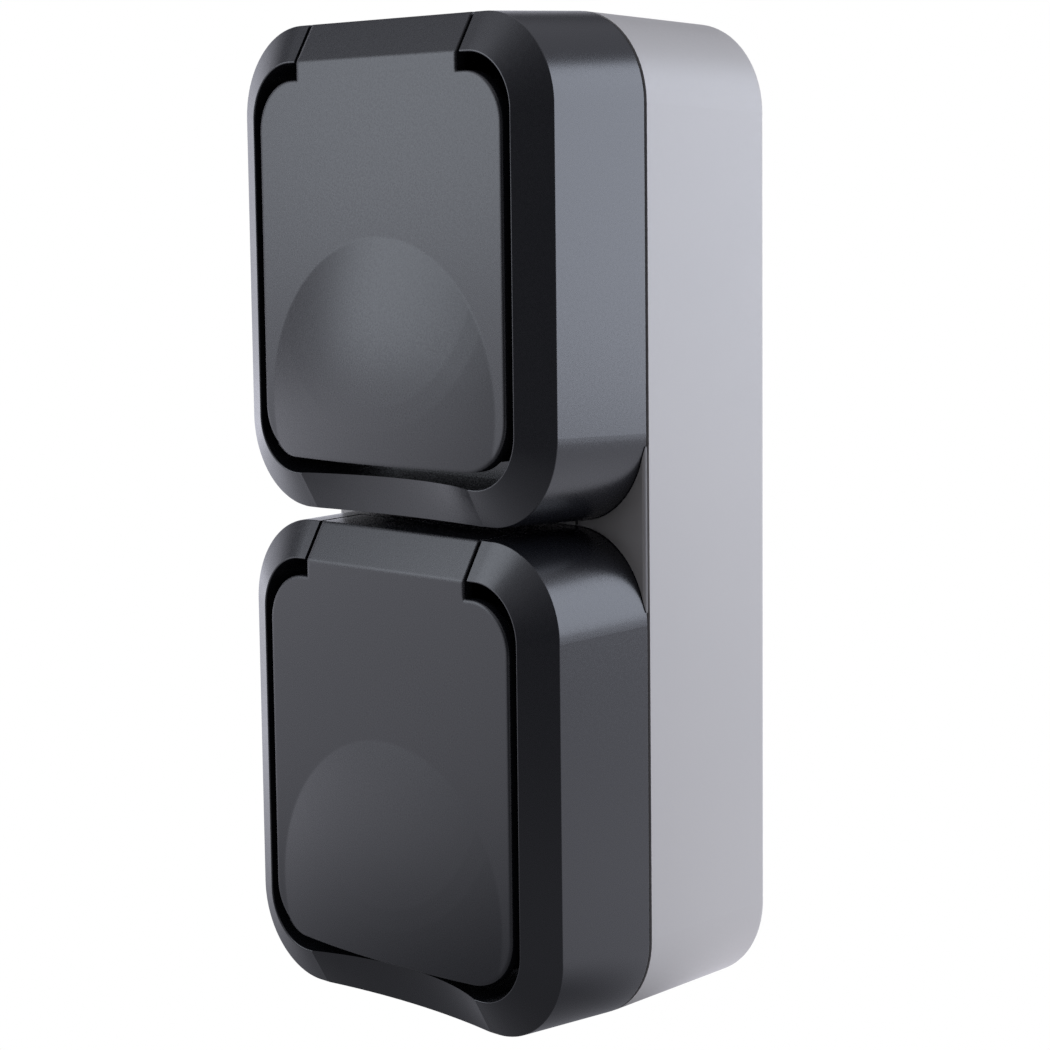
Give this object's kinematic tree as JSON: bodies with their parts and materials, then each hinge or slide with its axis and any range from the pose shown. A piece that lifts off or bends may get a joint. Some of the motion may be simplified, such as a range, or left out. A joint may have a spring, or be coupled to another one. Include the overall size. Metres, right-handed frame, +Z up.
{
  "type": "outdoor weatherproof double socket",
  "caption": "Surface-mounted outdoor socket with a light grey back box and two dark covers, each with a sprung hinged lid over a round recessed earthed outlet.",
  "frame": {"origin": "middle of the face that lies on the wall", "axes": "+X to the right seen from the front, +Y into the wall, +Z up"},
  "size_m": [0.075, 0.0548, 0.165],
  "materials": {
    "light_grey_housing": "fine matt moulded grain",
    "dark_cover": "fine matt moulded grain",
    "dark_lid": "fine matt moulded grain",
    "dark_insert": "satin moulded",
    "carrier_plastic": "plain moulded",
    "black_seal": "soft matt",
    "grey_rubber": "soft matt",
    "contact_brass": "plain rolled",
    "steel_pin": "drawn",
    "steel_spring": "drawn wire",
    "screw_steel": "zinc plated"
  },
  "bodies": {
    "base": {"back_box": "light_grey_housing", "box_gasket": "black_seal", "frame": "light_grey_housing", "top_grommet": "grey_rubber", "bottom_blank": "light_grey_housing", "upper_cover": "dark_cover", "upper_hinge_pin": "steel_pin", "upper_lid_spring": "steel_spring", "upper_socket_cup": "dark_insert", "upper_contact_carrier": "carrier_plastic", "upper_contact_left": "contact_brass", "upper_contact_right": "contact_brass", "upper_earth_strap": "contact_brass", "upper_centre_screw": "screw_steel", "upper_cover_screws": "screw_steel", "upper_carrier_screws": "screw_steel", "upper_terminal_screws": "screw_steel", "lower_cover": "dark_cover", "lower_hinge_pin": "steel_pin", "lower_lid_spring": "steel_spring", "lower_socket_cup": "dark_insert", "lower_contact_carrier": "carrier_plastic", "lower_contact_left": "contact_brass", "lower_contact_right": "contact_brass", "lower_earth_strap": "contact_brass", "lower_centre_screw": "screw_steel", "lower_cover_screws": "screw_steel", "lower_carrier_screws": "screw_steel", "lower_terminal_screws": "screw_steel"},
    "upper_lid": {"upper_lid": "dark_lid", "upper_lid_seal": "black_seal"},
    "lower_lid": {"lower_lid": "dark_lid", "lower_lid_seal": "black_seal"}
  },
  "joints": [
    {"name": "upper_lid_hinge", "type": "hinge", "parent": "base", "child": "upper_lid", "pos_m": [0, -0.0474, 0.0778], "axis": [-1, 0, 0], "range_deg": [0, 110], "stiffness_Nm_per_rad": 0.02, "springref_deg": -20.05},
    {"name": "lower_lid_hinge", "type": "hinge", "parent": "base", "child": "lower_lid", "pos_m": [0, -0.0474, -0.0052], "axis": [-1, 0, 0], "range_deg": [0, 100], "stiffness_Nm_per_rad": 0.02, "springref_deg": -20.05}
  ]
}
